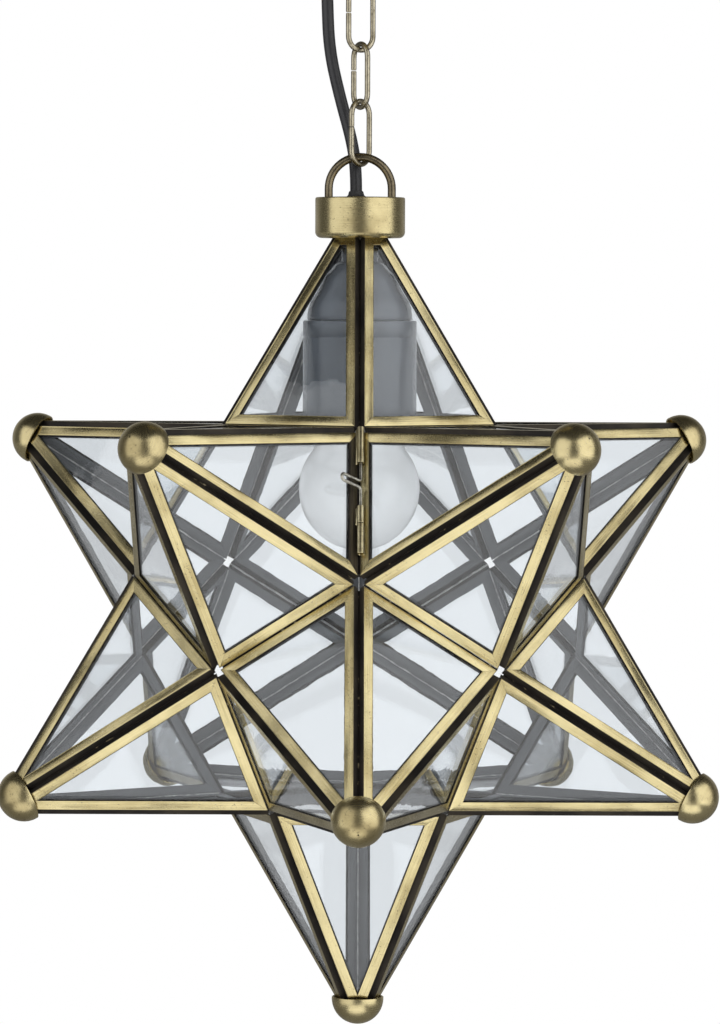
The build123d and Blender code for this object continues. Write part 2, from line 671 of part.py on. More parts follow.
strap_level = -STRAP_DROP
with BuildPart() as strap:
    with BuildSketch(Plane.XZ.offset(-STRAP_WIDTH / 2)):
        with BuildLine():
            end, knee_out, knee_in = STRAP_LENGTH / 2, STRAP_MIDDLE / 2 + 6, STRAP_MIDDLE / 2
            Polyline(
                (-end, 0), (-knee_out, 0), (-knee_in, strap_level + STRAP_THICKNESS),
                (knee_in, strap_level + STRAP_THICKNESS), (knee_out, 0), (end, 0),
                (end, -STRAP_THICKNESS), (knee_out - 1, -STRAP_THICKNESS), (knee_in - 1, strap_level),
                (1 - knee_in, strap_level), (1 - knee_out, -STRAP_THICKNESS), (-end, -STRAP_THICKNESS),
                close=True,
            )
        make_face()
    extrude(amount=STRAP_WIDTH)
    with BuildSketch(Plane.XY.offset(-STRAP_THICKNESS)):
        with Locations((-STRAP_HOLE_SPACING / 2, 0), (STRAP_HOLE_SPACING / 2, 0)):
            Circle(STRAP_HOLE_RADIUS)
    extrude(amount=STRAP_THICKNESS, mode=Mode.SUBTRACT)
    with BuildSketch(Plane.XY.offset(strap_level)):
        Circle(EYE_STEM_RADIUS + 2 * FITTING_PLAY)
    extrude(amount=STRAP_THICKNESS, mode=Mode.SUBTRACT)
save(strap.part, "ceiling_strap")

strap_top = strap_level + STRAP_THICKNESS
stem_top = strap_top + 4
eye_middle = EYE_BAR + EYE_RADIUS
with BuildPart() as ceiling_eye:
    with Locations(Plane(origin=(0, 0, eye_middle), z_dir=(0, 1, 0))):
        Torus(EYE_RADIUS, EYE_WIRE / 2)
    with BuildSketch(Plane.XY.offset(eye_middle + EYE_RADIUS)):
        Circle(EYE_STEM_RADIUS)
    extrude(amount=stem_top - eye_middle - EYE_RADIUS)
save(ceiling_eye.part, "ceiling_eye")

eye_nut = hex_nut(
    Plane.XY.offset(strap_top), [(0, 0)], EYE_NUT_WIDTH, EYE_STEM_RADIUS + FITTING_PLAY, NUT_HEIGHT
)
save(eye_nut, "eye_nut")

with BuildPart() as cord_grip:
    with BuildSketch(Plane.XY.offset(-CANOPY_HEIGHT)):
        with Locations(GRIP_PLACE):
            Circle(GRIP_RADIUS)
    extrude(amount=-GRIP_LENGTH, taper=8)
    with BuildSketch(Plane.XY.offset(-CANOPY_HEIGHT)):
        with Locations(GRIP_PLACE):
            Circle(GRIP_RADIUS - GRIP_WALL - FITTING_PLAY)
    extrude(amount=CANOPY_WALL + GRIP_STEM)
save(cord_grip.part, "cord_grip")

terminal_length, terminal_width, terminal_height = TERMINAL_SIZE
with BuildPart() as terminal_block:
    with BuildSketch(Plane.XY.offset(strap_level)):
        with Locations((TERMINAL_PLACE, 0)):
            Rectangle(terminal_length, terminal_width)
    extrude(amount=-terminal_height)
    fillet(terminal_block.edges().filter_by(Axis.Z), 1)
save(terminal_block.part, "terminal_block")

# ---- flex: straight runs joined by tangent arcs, from the bush in the cup to the grip ----
flex_top = -CANOPY_HEIGHT - GRIP_LENGTH
flex_rise = flex_top - CUP_TOP
flex_points = [
    (*FLEX_EXIT, CUP_TOP + BUSH_FLANGE),
    (*FLEX_EXIT, CUP_TOP + FLEX_STRAIGHT[0]),
    *((x, y, CUP_TOP + share * flex_rise) for x, y, share in FLEX_WAY),
    (*GRIP_PLACE, flex_top - FLEX_STRAIGHT[1]),
    (*GRIP_PLACE, flex_top),
]


def bend_radii(points):
    """The largest arc at each corner of a route that both of its runs allow."""
    vectors = [Vector(*p) for p in points]
    radii = []
    for before, corner, after in zip(vectors, vectors[1:], vectors[2:]):
        turn = radians((corner - before).get_angle(after - corner))
        shorter = min((corner - before).length, (after - corner).length)
        radii.append(0.45 * shorter / tan(turn / 2))
    return radii


flex_radii = bend_radii(flex_points)
print("flex bend radii, mm:", [round(r, 1) for r in flex_radii])
with BuildPart() as flex:
    with BuildLine():
        route = FilletPolyline(*flex_points, radius=flex_radii)
    with BuildSketch(Plane(origin=route @ 0, z_dir=route % 0)):
        Circle(FLEX_RADIUS)
    sweep()
print("flex length, mm:", round(route.length, 1))
print("flex volume over section times length:", flex.part.volume / (pi * FLEX_RADIUS**2 * route.length))
print("star centre below the ceiling, mm:", round(-STAR_Z, 2))
save(flex.part, "flex")
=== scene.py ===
"""A clear-glass moravian star pendant: its brass, glass and solder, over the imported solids."""
from math import atan, atan2, cos, pi, radians, sin, sqrt, tan

import bmesh
import bpy
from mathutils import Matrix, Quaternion, Vector


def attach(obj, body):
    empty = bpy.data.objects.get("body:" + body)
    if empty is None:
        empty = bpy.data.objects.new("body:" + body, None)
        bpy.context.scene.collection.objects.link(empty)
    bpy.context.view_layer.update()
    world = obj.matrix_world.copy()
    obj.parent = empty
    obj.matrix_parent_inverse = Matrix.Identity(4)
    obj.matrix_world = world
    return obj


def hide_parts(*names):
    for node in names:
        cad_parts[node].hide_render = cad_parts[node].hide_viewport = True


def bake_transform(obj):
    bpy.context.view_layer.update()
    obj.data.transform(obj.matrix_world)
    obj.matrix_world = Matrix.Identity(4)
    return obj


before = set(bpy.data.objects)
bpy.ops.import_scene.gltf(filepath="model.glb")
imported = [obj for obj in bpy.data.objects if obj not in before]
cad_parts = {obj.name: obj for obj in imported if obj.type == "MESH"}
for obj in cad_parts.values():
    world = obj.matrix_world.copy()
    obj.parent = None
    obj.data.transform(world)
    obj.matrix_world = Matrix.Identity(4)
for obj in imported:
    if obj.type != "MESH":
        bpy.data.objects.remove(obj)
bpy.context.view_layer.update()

MM = 0.001

# ---- sizes shared with the solids, in millimetres ----
STAR_Z = -287.9
STAR_REACH = 156.0
CAME_WIDTH = 4.0
CAME_DEPTH = 3.0
RIDGE_SLIT = 0.12
VALLEY_SET_IN = 0.2
POINT_CUT = 12.0
TOP_CUT = 17.6
CAP_SEAT = 141.0
CAP_RADIUS = 9.5
CUP_TOP = STAR_Z + 152.3
CUP_HEIGHT = 14.8
CUP_RADIUS = 16.4
BAIL_REACH = 16.2
BAIL_WIRE = 1.5
EYE_BAR = -40.9
EYE_WIRE = 1.5
LINK_LENGTH = 25.0
LINK_WIRE = 1.0
LINK_PLAY = 0.2
FLEX_RADIUS = 2.2
FLEX_EXIT = (-1.5, 6.2)
LAMP_RADIUS = 22.5
HOLDER_RADIUS = 20.3

PHI = (1 + sqrt(5)) / 2
EDGE = STAR_REACH * 4 / sqrt(10 + 2 * sqrt(5)) / PHI**2
CORNER_REACH = EDGE * PHI * sqrt(3) / 2
HALF_TIP = radians(18)
PANE_HEIGHT = EDGE / 2 / tan(HALF_TIP)
HALF_DIHEDRAL = atan(PHI)
PANE_LEAN = atan(0.5)
RIDGE_SET_IN = CAME_DEPTH / tan(HALF_DIHEDRAL) + RIDGE_SLIT


# ---- camera ----
CAMERA_PLACE = (-0.0006, -1.874, -0.1765)  # metres
CAMERA_TURN = (87.74, -0.19, -0.02)  # degrees about x, y and z
FOCAL_LENGTH, SENSOR_HEIGHT = 180.3, 36.0


def place_camera():
    lens = bpy.data.cameras.new("camera")
    lens.sensor_fit = "VERTICAL"
    lens.sensor_height = SENSOR_HEIGHT
    lens.lens = FOCAL_LENGTH
    lens.clip_start = 0.05
    lens.clip_end = 60.0
    camera = bpy.data.objects.new("camera", lens)
    camera.location = CAMERA_PLACE
    camera.rotation_euler = [radians(angle) for angle in CAMERA_TURN]
    bpy.context.scene.collection.objects.link(camera)
    bpy.context.scene.camera = camera


place_camera()


def new_piece(name, shape, finish, body, replaces=(), layers=None, smooth=40):
    """One piece of the lantern. layers are floats, one for each point. smooth is in degrees."""
    vertices, faces, uv = shape
    mesh = bpy.data.meshes.new(name)
    mesh.from_pydata([Vector(v) * MM for v in vertices], [], faces)
    for layer, values in (layers or {}).items():
        mesh.attributes.new(layer, "FLOAT", "POINT").data.foreach_set("value", values)
    mesh.uv_layers.new(name="UVMap").data.foreach_set("uv", [x for pair in uv for x in pair])
    mesh.validate()
    piece = bpy.data.objects.new(name, mesh)
    bpy.context.scene.collection.objects.link(piece)
    mesh.materials.append(FINISHES[finish])
    mesh.shade_smooth()
    mesh.set_sharp_from_angle(angle=radians(smooth))
    if body:
        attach(piece, body)
    if replaces:
        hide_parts(*replaces)
    return piece


def lathed(profile, centre, axis, turns=64, closed=False):
    """The shape of a profile of (radius, height) turned about an axis."""
    axis = Vector(axis).normalized()
    side = axis.orthogonal().normalized()
    other = axis.cross(side)
    centre = Vector(centre)
    vertices, faces, uv = [], [], []
    run = [0.0]
    for (r0, z0), (r1, z1) in zip(profile, profile[1:]):
        run.append(run[-1] + sqrt((r1 - r0) ** 2 + (z1 - z0) ** 2))
    girth = 2 * pi * max(r for r, _ in profile)
    for k in range(turns):
        out = side * cos(2 * pi * k / turns) + other * sin(2 * pi * k / turns)
        vertices += [centre + out * r + axis * z for r, z in profile]
    n = len(profile)
    spans = n if closed else n - 1
    run.append(run[-1] + 1)
    for k in range(turns):
        here, there = k * n, (k + 1) % turns * n
        for j in range(spans):
            i = (j + 1) % n
            faces.append((here + j, there + j, there + i, here + i))
            a, b = girth * k / turns, girth * (k + 1) / turns
            uv += [(a, run[j]), (b, run[j]), (b, run[j + 1]), (a, run[j + 1])]
    return vertices, faces, uv


def bar(path, radius, sides=16, start=0.0):
    """The shape of a round bar along a path. radius is one number or one for each point."""
    path = [Vector(p) for p in path]
    n = len(path)
    radii = [radius] * n if isinstance(radius, (int, float)) else radius
    tangents = []
    for k in range(n):
        before, after = path[max(k - 1, 0)], path[min(k + 1, n - 1)]
        tangents.append((after - before).normalized())
    side = tangents[0].orthogonal().normalized()
    vertices, faces, uv, run = [], [], [], [start]
    for k in range(n):
        side = (side - tangents[k] * side.dot(tangents[k])).normalized()
        other = tangents[k].cross(side)
        if k:
            run.append(run[-1] + (path[k] - path[k - 1]).length)
        for j in range(sides):
            a = 2 * pi * j / sides
            vertices.append(path[k] + (side * cos(a) + other * sin(a)) * radii[k])
    for k in range(n - 1):
        here, there = k * sides, (k + 1) * sides
        for j in range(sides):
            i = (j + 1) % sides
            faces.append((here + j, here + i, there + i, there + j))
            a, b = radii[k] * 2 * pi * j / sides, radii[k] * 2 * pi * (j + 1) / sides
            uv += [(run[k], a), (run[k], b), (run[k + 1], b), (run[k + 1], a)]
    faces.append(tuple(reversed(range(sides))))
    faces.append(tuple((n - 1) * sides + j for j in range(sides)))
    uv += [(along, 0.1 * j) for along in (run[0], run[-1]) for j in range(sides)]
    return vertices, faces, uv


def joined(shapes):
    """Several shapes as one."""
    vertices, faces, uv = [], [], []
    for v, f, u in shapes:
        base = len(vertices)
        vertices += v
        faces += [tuple(base + i for i in face) for face in f]
        uv += u
    return vertices, faces, uv


def arc_points(centre, radius, start, end, steps):
    """Points of an arc in a profile, angles in degrees."""
    angles = [radians(start + (end - start) * k / steps) for k in range(steps + 1)]
    return [(centre[0] + radius * cos(a), centre[1] + radius * sin(a)) for a in angles]


# ---- shader maths ----
class Wire:
    """A shader value. Python's own signs add Math nodes."""

    def __init__(self, tree, socket):
        self.tree = tree
        self.socket = socket

    def math(self, operation, *others, clamp=False):
        node = self.tree.nodes.new("ShaderNodeMath")
        node.operation = operation
        node.use_clamp = clamp
        for k, value in enumerate((self, *others)):
            plug(self.tree, value, node.inputs[k])
        return Wire(self.tree, node.outputs[0])

    def __add__(self, other):
        return self.math("ADD", other)

    def __radd__(self, other):
        return self.math("ADD", other)

    def __sub__(self, other):
        return self.math("SUBTRACT", other)

    def __rsub__(self, other):
        return (self * -1).math("ADD", other)

    def __mul__(self, other):
        return self.math("MULTIPLY", other)

    def __rmul__(self, other):
        return self.math("MULTIPLY", other)

    def __truediv__(self, other):
        return self.math("DIVIDE", other)

    def clamped(self):
        return self.math("ADD", 0.0, clamp=True)

    def beside(self, name):
        """Another output of the same node."""
        return Wire(self.tree, self.socket.node.outputs[name])


def plug(tree, value, socket):
    if isinstance(value, Wire):
        tree.links.new(value.socket, socket)
    else:
        socket.default_value = value


class Finish:
    """A material, or the world, under construction, with one method for every kind of node."""

    def __init__(self, name, owner=None):
        self.owner = owner or bpy.data.materials.new(name)
        self.owner.use_nodes = True
        self.tree = self.owner.node_tree
        self.tree.nodes.clear()

    def node(self, kind, settings=None, out=0, **sockets):
        """sockets are named inputs, with _ for a space, or i and a number."""
        node = self.tree.nodes.new("ShaderNode" + kind)
        for key, value in (settings or {}).items():
            setattr(node, key, value)
        for key, value in sockets.items():
            numbered = key[0] == "i" and key[1:].isdigit()
            plug(self.tree, value, node.inputs[int(key[1:]) if numbered else key.replace("_", " ")])
        return Wire(self.tree, node.outputs[out])

    def colours(self, factor, first, second):
        return self.node("Mix", {"data_type": "RGBA"}, out=2, i0=factor, i6=first, i7=second)

    def place(self):
        """The object's own coordinates, in metres."""
        return self.node("TexCoord", out="Object")

    def stretched(self, along, across):
        """The UV map, in millimetres, scaled along the piece and across it."""
        flat = self.node("UVMap", {"uv_map": "UVMap"})
        return self.node("Mapping", {"vector_type": "POINT"}, Vector=flat, Scale=(along, across, 1.0))

    def noise(self, coordinates, scale=1.0, detail=2.0, roughness=0.5):
        return self.node("TexNoise", Vector=coordinates, Scale=scale, Detail=detail, Roughness=roughness)

    def between(self, value, low, high, to_low=0.0, to_high=1.0):
        smooth = {"interpolation_type": "SMOOTHSTEP"}
        return self.node("MapRange", smooth, i0=value, i1=low, i2=high, i3=to_low, i4=to_high)

    def layer(self, name):
        return self.node("Attribute", {"attribute_name": name, "attribute_type": "GEOMETRY"}, out=2)

    def bump(self, height, distance):
        return self.node("Bump", Distance=distance, Height=height)

    def surface(self, **sockets):
        return self.node("BsdfPrincipled", **sockets)

    def output(self, shader, kind="Material"):
        out = self.tree.nodes.new("ShaderNodeOutput" + kind)
        self.tree.links.new(shader.socket, out.inputs["Surface"])
        return self.owner

    def finish(self, **sockets):
        return self.output(self.surface(**sockets))


BRASS_PALE = (0.70, 0.605, 0.335, 1)
BRASS_DEEP = (0.40, 0.325, 0.155, 1)
BRASS_DARK = (0.055, 0.045, 0.032, 1)
SPUN_PALE = (0.65, 0.555, 0.305, 1)
SPUN_DEEP = (0.40, 0.325, 0.165, 1)
GROOVE_DARK = (0.018, 0.015, 0.013, 1)
# The inner flanges' slate grey is painted shade: they are seen unlit through the glass.
SHADED_SLATE = (0.125, 0.132, 0.14, 1)
SHADED_SLATE_DARK = (0.075, 0.08, 0.085, 1)
SOLDER_BLACK = (0.020, 0.016, 0.012, 1)
SOLDER_BEAD = (0.30, 0.25, 0.15, 1)
SOLDER_BRIGHT = (0.62, 0.62, 0.60, 1)
SOLDER_GREY = (0.26, 0.26, 0.26, 1)
PEARL = (0.95, 0.965, 0.97, 1)
PEARL_GREY = (0.90, 0.925, 0.94, 1)
PANE_TINT = (0.835, 0.86, 0.88, 1)
GLASS_INDEX = 1.45
SHADOW_SHARE = 0.12  # how much of its tint a pane puts on the light that passes it


def darker(colour, share):
    return (*[c * share for c in colour[:3]], 1)


def came_brass():
    """Satin brass on the outer flanges, near black in the grooves, and on the inside painted shade: slate grey in
    place of brass, as the inner flanges are seen unlit.
    """
    m = Finish("came_brass")
    streaks = m.noise(m.stretched(0.05, 3.0), 1.0, 3.0, 0.6)
    fine = m.noise(m.stretched(0.35, 9.0), 1.0, 2.0, 0.6)
    specks = m.noise(m.place(), 1500.0, 2.0, 0.7)
    clouds = m.noise(m.place(), 45.0, 3.0, 0.6)
    bow = m.noise(m.stretched(0.028, 0.10), 1.0, 1.0, 0.4)
    outer, inner = m.layer("outer"), m.layer("inner")
    worn = m.between(clouds * 0.6 + streaks * 0.5 + bow * 0.5, 0.62, 1.05)
    brass = m.colours(worn, BRASS_PALE, BRASS_DEEP)
    pits = m.between(specks + clouds * 0.25, 0.74, 0.84)
    brass = m.colours(pits * 0.45, brass, BRASS_DARK)
    # The grooves are drawn near black, darker than the brass's own dark pits.
    groove = m.colours(m.between(clouds, 0.35, 0.7), GROOVE_DARK, BRASS_DARK)
    # Painted shade: the inside is coloured slate grey instead of brass.
    shaded_slate = m.colours(m.between(streaks, 0.3, 0.7), SHADED_SLATE, SHADED_SLATE_DARK)
    polished = m.between(outer + (streaks - 0.5) * 0.25, 0.35, 0.7)
    satin = (0.17 + fine * 0.14 + pits * 0.2) * m.between(polished, 0, 1, 0.4, 1.0)
    height = streaks * 0.6 + fine * 0.4 + clouds * 2.0 + bow * 44.0
    return m.finish(
        Base_Color=m.colours(polished, m.colours(inner, groove, shaded_slate), brass),
        Metallic=0.75 - inner * 0.35 + polished * 0.25,
        Roughness=m.between(polished, 0, 1, 0.45, 0.0) + satin,
        Normal=m.bump(height, 0.00004),
    )


def spun_brass():
    """Brushed satin brass of the caps, the cup and the canopy, with its fine lines round the axis."""
    m = Finish("spun_brass")
    lines = m.noise(m.stretched(0.04, 5.0), 1.0, 3.0, 0.65)
    fine = m.noise(m.stretched(0.3, 12.0), 1.0, 2.0, 0.6)
    clouds = m.noise(m.place(), 70.0, 4.0, 0.6)
    specks = m.noise(m.place(), 1100.0, 2.0, 0.7)
    worn = m.between(clouds + lines * 0.35, 0.50, 0.92)
    pits = m.between(specks + clouds * 0.3, 0.77, 0.88)
    return m.finish(
        Base_Color=m.colours(pits * 0.5, m.colours(worn, SPUN_PALE, SPUN_DEEP), BRASS_DARK),
        Metallic=1.0,
        Roughness=0.19 + lines * 0.10 + worn * 0.08 + pits * 0.15,
        Normal=m.bump(lines * 0.7 + fine * 0.5 + clouds, 0.00003),
    )


def wire_brass(name, pale, deep, dark_share):
    """Drawn wire: smooth, browner where it is handled least."""
    m = Finish(name)
    clouds = m.noise(m.place(), 260.0, 4.0, 0.65)
    lines = m.noise(m.stretched(0.15, 4.0), 1.0, 3.0, 0.6)
    worn = m.between(clouds + lines * 0.3, 0.45, 0.95)
    pits = m.between(m.noise(m.place(), 900.0, 3.0, 0.7), 0.60 - dark_share, 0.72)
    return m.finish(
        Base_Color=m.colours(pits * 0.7, m.colours(worn, pale, deep), BRASS_DARK),
        Metallic=1.0,
        Roughness=0.24 + lines * 0.1 + pits * 0.2,
        Normal=m.bump(clouds + lines * 0.5, 0.00005),
    )


def lets_light_in(m, glass, tint):
    """Glass that throws almost no shadow, because light also reaches the inside by way of the other panes."""
    shadow = m.node("LightPath", out="Is Shadow Ray")
    clear = m.node("BsdfTransparent", Color=(*[c ** SHADOW_SHARE for c in tint[:3]], 1))
    return m.node("MixShader", i0=shadow.math("MAXIMUM", shadow.beside("Is Diffuse Ray")), i1=glass, i2=clear)


def clear_glass(name, tint):
    """Window glass, very slightly wavy, with a few faint smears."""
    m = Finish(name)
    waves = m.noise(m.place(), 14.0)
    ripples = m.noise(m.place(), 90.0)
    pane = m.surface(
        Base_Color=m.colours(waves, tint, darker(tint, 0.985)),
        Metallic=0.0,
        Roughness=m.between(m.noise(m.place(), 30.0, 4.0, 0.6), 0.45, 0.85, 0.0, 0.004),
        IOR=GLASS_INDEX,
        Transmission_Weight=1.0,
        Normal=m.bump(waves + ripples * 0.05, 0.0004),
    )
    return m.output(lets_light_in(m, pane, tint))


def pearl_glass():
    """The lamp's pearl coating: milky, faintly see-through, with a clear gloss over it."""
    m = Finish("lamp_glass")
    mottle = m.noise(m.place(), 120.0, 3.0, 0.6)
    haze = m.noise(m.place(), 900.0, 2.0, 0.6)
    return m.finish(
        Base_Color=m.colours(mottle, PEARL, PEARL_GREY),
        Metallic=0.0,
        Roughness=0.24 + haze * 0.12,
        IOR=GLASS_INDEX,
        Transmission_Weight=0.1,
        Coat_Weight=mottle * 0.1 + 0.55,
        Coat_Roughness=0.03,
        Normal=m.bump(mottle, 0.00006),
    )


def moulded(name, colour, second, roughness, grain=900.0, depth=0.00002, metallic=0.0):
    """Moulded or pressed parts: a slight mottle, a fine surface grain and softer patches."""
    m = Finish(name)
    mottle = m.noise(m.place(), 60.0, 4.0, 0.6)
    fine = m.noise(m.place(), grain, 3.0, 0.6)
    return m.finish(
        Base_Color=m.colours(m.between(mottle, 0.3, 0.7), colour, second),
        Metallic=metallic,
        Roughness=roughness - 0.06 + mottle * 0.12 + fine * 0.05,
        Normal=m.bump(fine + mottle * 0.6, depth),
    )


def solder():
    """Blackened solder in the grooves, with small bright beads where it was scraped. Inside it is bare grey."""
    m = Finish("solder")
    beads = m.noise(m.place(), 420.0, 3.0, 0.7)
    patches = m.noise(m.place(), 60.0)
    scraped = m.between(beads + patches * 0.4, 0.80, 0.92)
    blackened = m.colours(scraped, SOLDER_BLACK, SOLDER_BEAD)
    bare = m.colours(m.between(beads, 0.35, 0.65), SOLDER_BRIGHT, SOLDER_GREY)
    return m.finish(
        Base_Color=m.colours(m.between(m.layer("inner"), 0.4, 0.6), blackened, bare),
        Metallic=0.8,
        Roughness=0.55 - scraped * 0.2,
        Normal=m.bump(beads, 0.00025),
    )


FINISHES = {
    "solder": solder(),
    "came_brass": came_brass(),
    "spun_brass": spun_brass(),
    "pane_glass": clear_glass("pane_glass", PANE_TINT),
    "lamp_glass": pearl_glass(),
}
# pale colour, deep colour, share of dark pits
DRAWN = {
    "wire_brass": ((0.24, 0.20, 0.13, 1), (0.10, 0.082, 0.055, 1), 0.06),
    "tube_brass": ((0.78, 0.69, 0.43, 1), (0.50, 0.42, 0.23, 1), -0.04),
    "latch_brass": ((0.70, 0.67, 0.58, 1), (0.20, 0.18, 0.14, 1), 0.02),
    "chain_brass": ((0.52, 0.47, 0.35, 1), (0.27, 0.235, 0.16, 1), 0.02),
}
# colour, second colour, roughness, grain, depth of the grain in metres, metallic
MOULDED = {
    "flex_black": ((0.012, 0.012, 0.014, 1), (0.020, 0.020, 0.023, 1), 0.34, 1400.0),
    "holder_black": ((0.040, 0.048, 0.060, 1), (0.052, 0.062, 0.076, 1), 0.22, 1500.0, 0.000004),
    "bush_black": ((0.016, 0.016, 0.017, 1), (0.026, 0.026, 0.027, 1), 0.45),
    "insulator_white": ((0.78, 0.77, 0.73, 1), (0.70, 0.69, 0.64, 1), 0.35),
    "contact_metal": ((0.72, 0.60, 0.32, 1), (0.60, 0.49, 0.26, 1), 0.28, 600.0, 0.00003, 1.0),
    "plated_steel": ((0.55, 0.55, 0.52, 1), (0.44, 0.44, 0.43, 1), 0.30, 500.0, 0.00003, 1.0),
}
FINISHES |= {name: wire_brass(name, *values) for name, values in DRAWN.items()}
FINISHES |= {name: moulded(name, *values) for name, values in MOULDED.items()}


# ---- flex ----
FLEX_ROUTE = [
    (*FLEX_EXIT, CUP_TOP + 1.5),
    (*FLEX_EXIT, CUP_TOP + 10),
    (-3.1, 8.4, CUP_TOP + 21),
    (-7.6, 9.3, CUP_TOP + 37),
    (-11.5, 9.4, CUP_TOP + 54),
    (-12.3, 9.2, CUP_TOP + 72),
    (-12.5, 9.0, -48.0),
    (-12.5, 9.0, -34.0),
]


def flex_line():
    """The route as one smooth line of points, in millimetres."""
    curve = bpy.data.curves.new("flex_route", "CURVE")
    curve.dimensions = "3D"
    curve.resolution_u = 12
    spline = curve.splines.new("NURBS")
    spline.points.add(len(FLEX_ROUTE) - 1)
    for point, place in zip(spline.points, FLEX_ROUTE):
        point.co = (*[x * MM for x in place], 1.0)
    spline.order_u = 3
    spline.use_endpoint_u = True
    holder = bpy.data.objects.new("flex_route", curve)
    mesh = bpy.data.meshes.new_from_object(holder)
    points = [Vector(v.co) / MM for v in mesh.vertices]
    bpy.data.objects.remove(holder)
    bpy.data.curves.remove(curve)
    bpy.data.meshes.remove(mesh)
    return points


def make_flex():
    line = flex_line()
    flex = new_piece("flex_lead", bar(line, FLEX_RADIUS, sides=24), "flex_black", None, ["flex"])
    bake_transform(flex)


make_flex()


# ---- the star's directions ----
def ring(names, first_angle, lean):
    """Five directions round the axis. first_angle is in degrees, lean in radians above the level."""
    angles = [radians(first_angle + 72 * k) for k in range(5)]
    return {n: Vector((cos(a) * cos(lean), sin(a) * cos(lean), sin(lean))) for n, a in zip(names, angles)}


UPPER_RING = ["upper_front_right", "upper_right", "upper_back", "upper_left", "upper_front_left"]
LOWER_RING = ["lower_front", "lower_right", "lower_back_right", "lower_back_left", "lower_left"]
POINTS = {"top": Vector((0, 0, 1)), "bottom": Vector((0, 0, -1))}
POINTS |= ring(UPPER_RING, -54, PANE_LEAN) | ring(LOWER_RING, -90, -PANE_LEAN)
DOOR = "upper_front_left"
LATCHED = "upper_front_right"
HINGED = "upper_left"
STAR = Vector((0, 0, STAR_Z))


def body_of(point):
    return "door" if point == DOOR else "lantern"


def axial_cut(point):
    return TOP_CUT if point == "top" else POINT_CUT


def same(direction, other):
    return (direction - other).length < 0.01


def pane_planes(point):
    """Each pane's (origin, along, up, outward, facing): origin in the middle of its valley."""
    near = [d for d in POINTS.values() if abs(point.dot(d) - 1 / sqrt(5)) < 0.01]
    side = (near[0] - point * point.dot(near[0])).normalized()
    across = point.cross(side)
    near.sort(key=lambda d: atan2(d.dot(across), d.dot(side)))
    planes = []
    for k, facing in enumerate(near):
        left = (point + facing + near[k - 1]).normalized() * CORNER_REACH
        right = (point + facing + near[(k + 1) % 5]).normalized() * CORNER_REACH
        middle = (left + right) / 2
        along = (right - left).normalized()
        up = (point * STAR_REACH - middle).normalized()
        planes.append((STAR + middle, along, up, along.cross(up), facing))
    return planes


def pane_towards(point, facing):
    return next(p for p in pane_planes(POINTS[point]) if same(p[4], POINTS[facing]))


def pane_corners(margin, cut):
    """Two corners at the foot and two at the top, which are one point where the sides meet below the cut."""
    ridge = RIDGE_SET_IN + margin
    low = VALLEY_SET_IN + margin
    tip = PANE_HEIGHT - ridge / sin(HALF_TIP)
    high = min(tip, PANE_HEIGHT - cut / cos(PANE_LEAN) - margin)
    wide, narrow = (tip - low) * tan(HALF_TIP), (tip - high) * tan(HALF_TIP)
    return [(-wide, low), (wide, low), (narrow, high), (-narrow, high)]


# A came's section, from the foot of its outer corner round to the inner flange:
# (in from the edge, depth, how far it is polished, how far it is painted slate grey as shade).
CAME_SECTION = [
    (0.0, 0.42, 0.15, 0), (0.04, 0.24, 0.3, 0), (0.15, 0.13, 0.42, 0), (0.36, 0.085, 0.8, 0),
    (0.8, 0.04, 1, 0), (1.4, 0.01, 1, 0), (2.0, 0.0, 1, 0), (2.6, 0.01, 1, 0), (3.2, 0.04, 1, 0),
    (3.66, 0.085, 0.8, 0), (3.84, 0.13, 0.45, 0), (3.97, 0.22, 0.25, 0), (4.0, 0.31, 0.1, 0),
    (3.94, 0.38, 0, 0), (3.80, 0.40, 0, 0), (0.7, 0.40, 0, 0), (0.7, 2.60, 0, 0),
    (3.80, 2.60, 0, 0.4), (3.96, 2.68, 0, 0.9), (4.0, 2.78, 0, 1), (3.93, 2.92, 0, 1),
    (3.75, 3.0, 0, 1), (0.3, 3.0, 0, 1), (0.1, 2.94, 0, 0.8), (0.0, 2.75, 0, 0.1),
]
POLISHED_FLAT = 0.8  # from this polish up, the section is the outer flange that rolls
MITRE_GAP = 0.05
ROLLS = [0.9, -0.5, 0.2, -1.0, 0.6, -0.2, 1.0, -0.8, 0.4, -0.6, 0.0, 0.8, -0.9]
FULL_ROLL = 0.16
ROLL_PLAY = 0.02
STRIP_SHIFT = 211.0  # in the UV map, so that no two strips have the same wear


def latch_painted_shade(point, facing):
    """How much of its polish a came keeps beside the latch, where it is drawn darker as painted shade."""
    sides = {(DOOR, LATCHED): 0.40, (LATCHED, DOOR): 0.60}
    return next((v for (a, b), v in sides.items() if a == point and same(POINTS[b], facing)), 1.0)


def came_strip(plane, rings, side, roll):
    """One mitred strip of the folded section: its points, its faces and where each rail starts and ends."""
    origin, along, up, outward, _ = plane
    a, b = side, (side + 1) % 4
    direction = (Vector(rings[0][b]) - Vector(rings[0][a])).normalized()
    vertices, ends = [], []
    for (margin, depth, polish, _), corners in zip(CAME_SECTION, rings):
        if polish >= POLISHED_FLAT:
            depth += max(0.0, roll * (margin - CAME_WIDTH / 2) / CAME_WIDTH + abs(roll) / 2 - ROLL_PLAY)
        start = Vector(corners[a]) + direction * MITRE_GAP
        end = Vector(corners[b]) - direction * MITRE_GAP
        if (end - start).dot(direction) < 0:
            start = end = (start + end) / 2
        ends.append((start.dot(direction), end.dot(direction)))
        vertices += [origin + along * flat.x + up * flat.y - outward * depth for flat in (start, end)]
    n = len(CAME_SECTION)
    faces = [(2 * j, 2 * j + 1, 2 * ((j + 1) % n) + 1, 2 * ((j + 1) % n)) for j in range(n)]
    faces += [tuple(2 * j for j in range(n)), tuple(2 * j + 1 for j in reversed(range(n)))]
    return vertices, faces, ends


